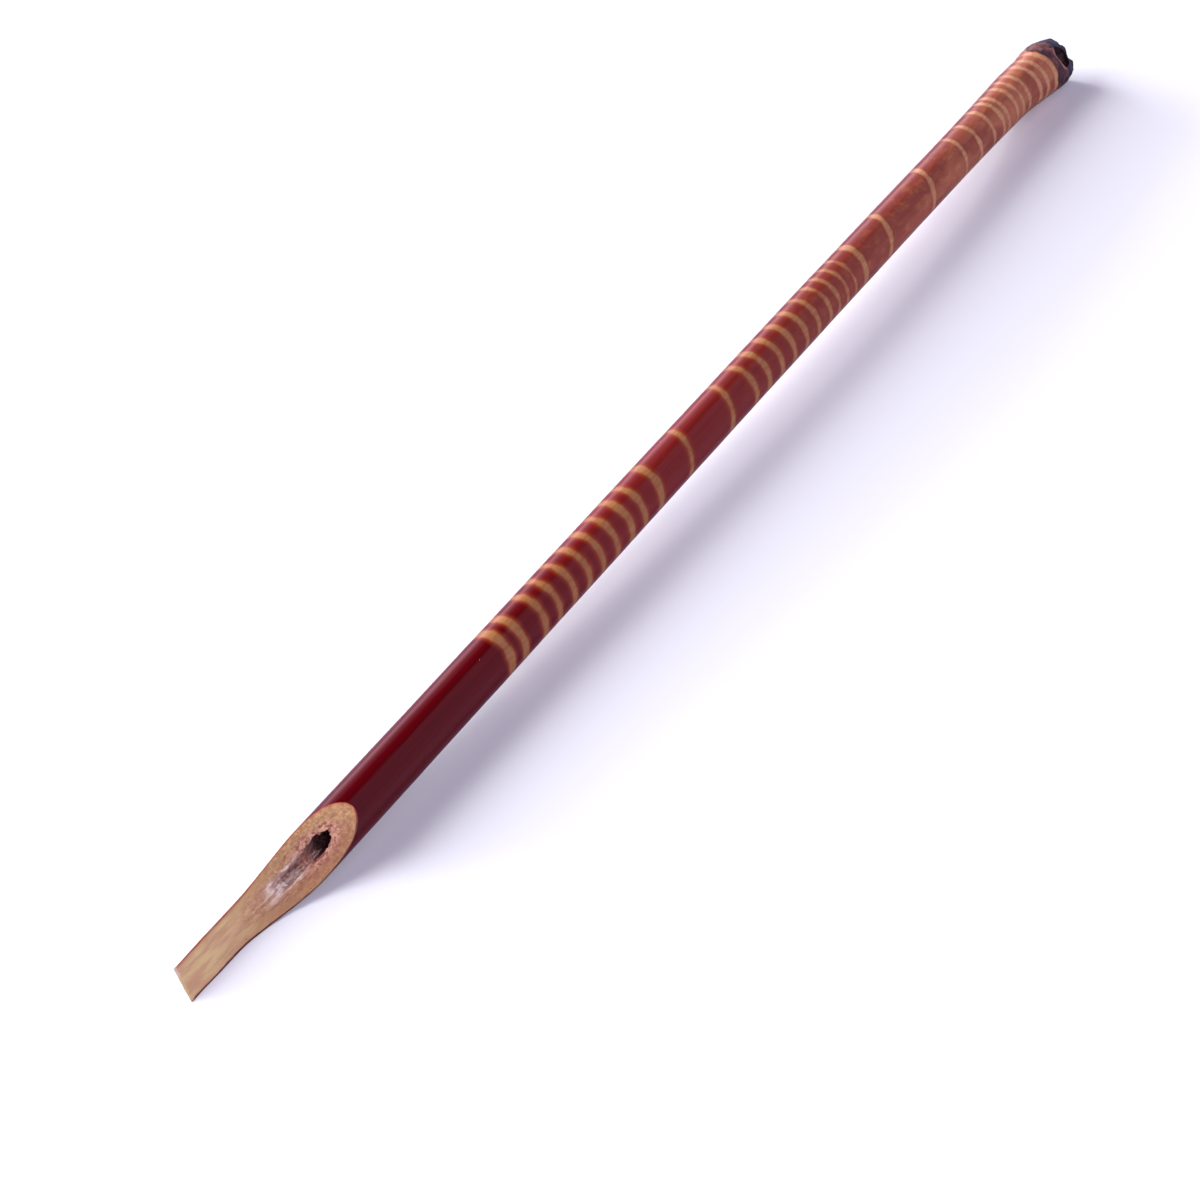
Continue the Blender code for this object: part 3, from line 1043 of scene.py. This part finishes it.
def add_pith(tree, under, grains, steps, side, wander):
    """The pale pith in the middle of the slope, and the torn wood below it."""
    from_middle = calc(tree, "ABSOLUTE", calc(tree, "ADD", side, GROOVE_SIDE))
    from_middle = plus(tree, from_middle, wander, PITH_WANDER)
    pith = blend_pair(tree, step_between(tree, grains["pith"], CUT_RANGES["pith"]), CUT_PAIRS["pith"])
    pith_place = times(tree, steps["pith_from"], steps["pith_until"])
    pith_zone = times(tree, step_between(tree, from_middle, CUT_RANGES["pith_side"]), pith_place)
    wood = blend(tree, times(tree, pith_zone, PITH_STRENGTH), under, pith)
    torn = blend_pair(tree, step_between(tree, grains["crumbs"], CUT_RANGES["torn"]), CUT_PAIRS["torn"])
    torn_zone = times(tree, steps["torn_depth"], steps["torn_from"])
    return blend(tree, times(tree, torn_zone, TORN_STRENGTH), wood, torn)


def cut_material():
    """Cut reed, coloured by how deep it lies: red skin line, tan wood, brown speckle and pale pith."""
    material, tree, shader, place = new_material("cut_reed")
    along, sideways, upward = split(tree, place)
    around = add(tree, "ShaderNodeCombineXYZ", {1: sideways, 2: upward}).outputs[0]
    share = calc(tree, "DIVIDE", vector_calc(tree, "LENGTH", around)["Value"], BARREL_RADIUS)
    grains = all_grains(tree, place, CUT_GRAINS)
    wander = off_middle(tree, grains["wander"])
    uneven = plus(tree, share, wander, DEPTH_WANDER)
    sunk = attribute(tree, "sunk")
    side = attribute(tree, "cut_side")
    steps = {name: step_between(tree, along, limits) for name, limits in CUT_PLACES.items()}
    for name, limits in CUT_DEPTHS.items():
        steps[name] = step_between(tree, uneven, limits)
    on_slope = steps["slope"]

    wood = blend_pair(tree, step_between(tree, grains["fibres"], CUT_RANGES["wood"]), CUT_PAIRS["wood"])
    wood = tint(tree, wood, CUT_TINTS["broad"], step_between(tree, grains["broad"], CUT_RANGES["broad"]))
    wood = tint(tree, wood, CUT_TINTS["golden"], times(tree, steps["golden_from"], steps["golden_depth"]))
    mottled = step_between(tree, grains["ends"], CUT_RANGES["mottled"])
    mottled = blend_pair(tree, mottled, CUT_PAIRS["mottled"])
    wood = blend(tree, times(tree, on_slope, MOTTLED_STRENGTH), wood, mottled)
    brown = step_between(tree, grains["speckle"], CUT_RANGES["brown"])
    wood = tint(tree, wood, CUT_TINTS["brown"], times(tree, steps["brown_depth"], steps["brown_from"], brown))
    wood = tint(tree, wood, CUT_TINTS["flecks"], specks(tree, place, FLECKS))
    wood = add_pith(tree, wood, grains, steps, side, wander)

    right = step_between(tree, side, CUT_RANGES["shaded_side"])
    wood = tint(tree, wood, CUT_TINTS["shaded"], times(tree, right, steps["shaded_from"]))
    # Painted shade: the groove's wall, sunk below the cut, is darkened on one side
    ragged_side = plus(tree, side, off_middle(tree, grains["pith"]), WALL_WANDER)
    painted_wall_shade = times(
        tree,
        step_between(tree, sunk, CUT_RANGES["wall_sunk"]),
        step_between(tree, ragged_side, CUT_RANGES["wall_side"]),
        steps["wall_from"],
    )
    wood = tint(tree, wood, CUT_TINTS["painted_wall_shade"], painted_wall_shade)

    rim = plus(tree, share, wander, RIM_WANDER)
    wood = tint(tree, wood, CUT_TINTS["rim_band"], step_between(tree, rim, CUT_RANGES["rim_band"]))
    # The red skin line is real; its darker colour and wider reach on the right are painted shade
    skin_line_and_shade = blend_pair(tree, right, CUT_PAIRS["skin_line_and_shade"])
    rim = plus(tree, rim, right, RIM_MOVED_RIGHT)
    wood = blend(tree, step_between(tree, rim, CUT_RANGES["skin_line_and_shade"]), wood, skin_line_and_shade)

    worn = plus(tree, along, off_middle(tree, grains["speckle"]), FRAYED_WANDER)
    worn = plus(tree, worn, side, math.tan(TIP_SLANT))
    frayed_colour = blend_pair(tree, step_between(tree, side, CUT_RANGES["frayed_side"]), CUT_PAIRS["frayed"])
    frayed = step_between(tree, worn, CUT_RANGES["frayed_until"])
    frayed = times(tree, frayed, step_between(tree, sunk, CUT_RANGES["frayed_sunk"]), FRAYED_STRENGTH)
    put(tree, shader.inputs["Base Color"], blend(tree, frayed, wood, frayed_colour))
    shader.inputs["Roughness"].default_value = CUT_ROUGHNESS
    shader.inputs["Specular IOR Level"].default_value = CUT_SHINE
    relief = times(tree, grains["fibres"], CUT_FIBRE_RELIEF)
    relief = plus(tree, relief, times(tree, grains["ends"], on_slope), CUT_ENDS_RELIEF)
    bump(tree, shader, relief, MILLIMETRE)
    return material


def core_material():
    """The torn pith on the hollow core's wall: pale near the opening; further in, dark and reddish, darkened
    as painted shade.
    """
    material, tree, shader, place = new_material("core_wall")
    along = split(tree, place)[0]
    torn = grain(tree, place, WALL_GRAIN)
    side = attribute(tree, "cut_side")
    pale = blend_pair(tree, step_between(tree, torn, WALL_RANGES["pale"]), WALL_PAIRS["pale"])
    deep = blend_pair(tree, step_between(tree, torn, WALL_RANGES["deep"]), WALL_PAIRS["deep"])
    left = step_between(tree, calc(tree, "ADD", side, torn), WALL_RANGES["left"])
    pale = tint(tree, pale, WALL_TINTS["left"], left)
    right = step_between(tree, plus(tree, side, torn, WALL_RIGHT_WANDER), WALL_RANGES["right"])
    pale = tint(tree, pale, WALL_TINTS["right"], right)
    # Painted shade: further into the hollow the wall turns dark
    edge = plus(tree, along, off_middle(tree, torn), WALL_EDGE_WANDER)
    shade_further_in = step_between(tree, edge, WALL_RANGES["edge"])
    put(tree, shader.inputs["Base Color"], blend(tree, shade_further_in, pale, deep))
    shader.inputs["Roughness"].default_value = WALL_ROUGHNESS
    bump(tree, shader, torn, WALL_RELIEF * MILLIMETRE)
    return material


def char_material():
    """The burnt root end: near black, and brown where the char is thin."""
    material, tree, shader, place = new_material("charred_end")
    crust = grain(tree, place, CHAR_GRAIN)
    put(tree, shader.inputs["Base Color"], blend_pair(tree, step_between(tree, crust, CHAR_RANGE), CHAR_PAIR))
    put(tree, shader.inputs["Roughness"], plus(tree, CHAR_ROUGHNESS, crust, CHAR_UNEVEN))
    bump(tree, shader, crust, CHAR_RELIEF * MILLIMETRE)
    return material


def make_cane():
    """The dressed cane: built in millimetres from its tip, cut, given attributes, and moved into place."""
    materials = [skin_material(), cut_material(), core_material(), char_material()]
    skin, cut, core, char = materials
    cane = make_barrel(materials)
    dish_centre = cane_centre(CANE_LENGTH - RIM_SET_BACK) + DISH_OFFSET * outward(DISH_TURN)
    socket_centre = cane_centre(SOCKET_PLACE) + SOCKET_OFFSET * outward(SOCKET_TURN)
    cutters = [
        make_cut_cutter(cut),
        make_tip_cutter(cut),
        make_core_cutter(core),
        make_ball("dish_cutter", dish_centre, DISH_RADII, DISH_TURN, DISH_ROUGHNESS, char),
        make_ball("socket_cutter", socket_centre, SOCKET_RADII, SOCKET_TURN, SOCKET_ROUGHNESS, char),
        make_rest_cutter(skin),
    ]
    cut_away(cane, cutters)
    mesh = cane.data
    add_attributes(mesh)
    mesh.transform(Matrix.Translation(TIP_PLACE) @ Matrix.Scale(MILLIMETRE, 4))
    low, high = cad_box
    for vert in mesh.vertices:
        for axis in range(3):
            vert.co[axis] = min(max(vert.co[axis], low[axis]), high[axis])
    mesh.shade_smooth()
    mesh.set_sharp_from_angle(angle=SHARP_ANGLE)
    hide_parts("reed_cane")
    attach(cane, "root")


def make_floor():
    material = bpy.data.materials.new("white_floor")
    material.use_nodes = True
    tree = material.node_tree
    shader = tree.nodes["Principled BSDF"]
    # Painted reflection: glossy rays see the floor darker than it is
    to_gloss = add(tree, "ShaderNodeLightPath", {}).outputs["Is Glossy Ray"]
    put(tree, shader.inputs["Base Color"], blend(tree, to_gloss, FLOOR_COLOUR, FLOOR_MIRRORED))
    shader.inputs["Roughness"].default_value = FLOOR_ROUGHNESS
    shader.inputs["Specular IOR Level"].default_value = 0.0
    shape = bmesh.new()
    bmesh.ops.create_grid(shape, x_segments=1, y_segments=1, size=FLOOR_REACH)
    floor = shape_object("floor", shape, material)


def make_camera():
    data = bpy.data.cameras.new("camera")
    data.sensor_width = SENSOR_WIDTH
    data.lens = CAMERA_LENS
    data.clip_start = SEEN_FROM
    data.clip_end = SEEN_TO
    camera = link_object("camera", data)
    level = math.cos(CAMERA_DOWN)
    ahead, aside = math.cos(CAMERA_HEADING), math.sin(CAMERA_HEADING)
    forward = Vector((level * ahead, level * aside, -math.sin(CAMERA_DOWN)))
    right = Vector((aside, -ahead, 0.0))
    turned = Matrix((right, right.cross(forward), -forward)).transposed().to_4x4()
    camera.matrix_world = Matrix.Translation(CAMERA_PLACE) @ turned
    bpy.context.scene.camera = camera


def area_light(name, direction, distance, width, height, power, colour):
    """A soft light that looks at the cane from this direction."""
    data = bpy.data.lights.new(name, "AREA")
    data.shape = "RECTANGLE"
    data.size = width
    data.size_y = height
    data.energy = power
    data.color = colour
    light = link_object(name, data)
    away = Vector(direction).normalized()
    light.location = away * distance
    light.rotation_euler = away.to_track_quat("Z", "Y").to_euler()


def make_lights():
    """The area lights, and a sky that the glossy skin mirrors and the camera sees as white."""
    for name, settings in LIGHTS.items():
        area_light(name, *settings)
    world = bpy.data.worlds.new("studio")
    world.use_nodes = True
    tree = world.node_tree
    background = tree.nodes["Background"]
    background.inputs["Strength"].default_value = 1.0
    _, sideways, upward = split(tree, add(tree, "ShaderNodeTexCoord", {}).outputs["Generated"])
    sky = blend(tree, step_between(tree, upward, SKY_LOWER_RANGE), SKY_TOP, SKY_LOWER)
    sky = blend(tree, step_between(tree, upward, SKY_HORIZON_RANGE), sky, SKY_HORIZON)
    sky = blend(tree, step_between(tree, sideways, SKY_IN_FRONT_RANGE), sky, SKY_IN_FRONT)
    to_camera = add(tree, "ShaderNodeLightPath", {}).outputs["Is Camera Ray"]
    put(tree, background.inputs["Color"], blend(tree, to_camera, sky, SKY_SEEN))
    bpy.context.scene.world = world
    bpy.context.scene.view_settings.view_transform = "Standard"


make_camera()
make_floor()
make_lights()
make_cane()
